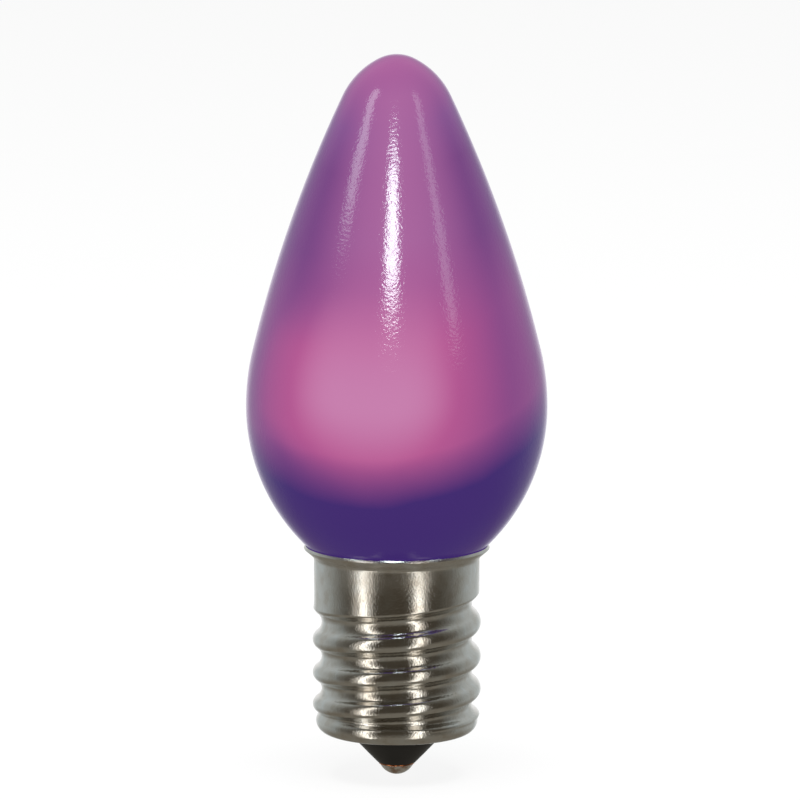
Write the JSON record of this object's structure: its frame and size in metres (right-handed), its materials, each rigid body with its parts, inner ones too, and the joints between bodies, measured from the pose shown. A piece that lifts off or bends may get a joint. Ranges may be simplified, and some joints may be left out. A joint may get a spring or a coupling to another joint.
{
  "type": "screw-base christmas light bulb",
  "caption": "Cone-shaped translucent purple christmas light bulb with a rounded tip, on a nickel-plated right-hand screw base with a black insulator and a soldered centre contact.",
  "frame": {"origin": "lamp axis at the lowest point of the solder contact", "axes": "+Z along the lamp axis from the contact to the bulb's tip; -Y is the side that faced the camera"},
  "size_m": [0.0212, 0.0212, 0.0512],
  "materials": {
    "envelope": "translucent purple, polished",
    "nickel": "nickel-plated sheet, satin bright",
    "insulator": "black moulded insulator",
    "eyelet": "coppery brass",
    "solder": "bright tin solder"
  },
  "bodies": {
    "root": {"envelope": "envelope", "screw_shell": "nickel", "insulator": "insulator", "contact_eyelet": "eyelet", "solder_tip": "solder"}
  },
  "joints": []
}
